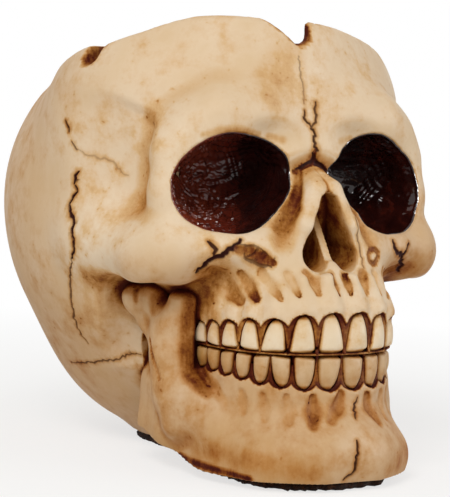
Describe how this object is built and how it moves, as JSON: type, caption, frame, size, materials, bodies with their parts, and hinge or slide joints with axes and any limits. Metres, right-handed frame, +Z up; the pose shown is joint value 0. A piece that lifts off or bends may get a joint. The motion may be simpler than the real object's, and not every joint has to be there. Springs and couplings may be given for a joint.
{
  "type": "skull decoration",
  "caption": "Cast resin skull standing on its jaw, with an open bowl-shaped crown, a notched rim, dark lacquered eye sockets and bared teeth.",
  "frame": {"origin": "on the midline of the sole's underside, below the front of the neck stub", "axes": "+Z up, -Y the way the face looks, +X the skull's left"},
  "size_m": [0.1038, 0.1507, 0.124],
  "materials": {
    "ivory_resin": "satin paint, antiqued",
    "tooth_resin": "satin paint",
    "eye_lacquer": "gloss lacquer",
    "sole_resin": "rough, stained"
  },
  "bodies": {
    "root": {"cranium": "ivory_resin", "mandible": "ivory_resin", "right_eye_lining": "eye_lacquer", "left_eye_lining": "eye_lacquer", "base_sole": "sole_resin", "upper_tooth_right_1": "tooth_resin", "upper_tooth_right_2": "tooth_resin", "upper_tooth_right_3": "tooth_resin", "upper_tooth_right_4": "tooth_resin", "upper_tooth_right_5": "tooth_resin", "upper_tooth_right_6": "tooth_resin", "upper_tooth_right_7": "tooth_resin", "upper_tooth_left_1": "tooth_resin", "upper_tooth_left_2": "tooth_resin", "upper_tooth_left_3": "tooth_resin", "upper_tooth_left_4": "tooth_resin", "upper_tooth_left_5": "tooth_resin", "upper_tooth_left_6": "tooth_resin", "upper_tooth_left_7": "tooth_resin", "lower_tooth_right_1": "tooth_resin", "lower_tooth_right_2": "tooth_resin", "lower_tooth_right_3": "tooth_resin", "lower_tooth_right_4": "tooth_resin", "lower_tooth_right_5": "tooth_resin", "lower_tooth_right_6": "tooth_resin", "lower_tooth_right_7": "tooth_resin", "lower_tooth_right_8": "tooth_resin", "lower_tooth_left_1": "tooth_resin", "lower_tooth_left_2": "tooth_resin", "lower_tooth_left_3": "tooth_resin", "lower_tooth_left_4": "tooth_resin", "lower_tooth_left_5": "tooth_resin", "lower_tooth_left_6": "tooth_resin", "lower_tooth_left_7": "tooth_resin", "lower_tooth_left_8": "tooth_resin"}
  },
  "joints": []
}
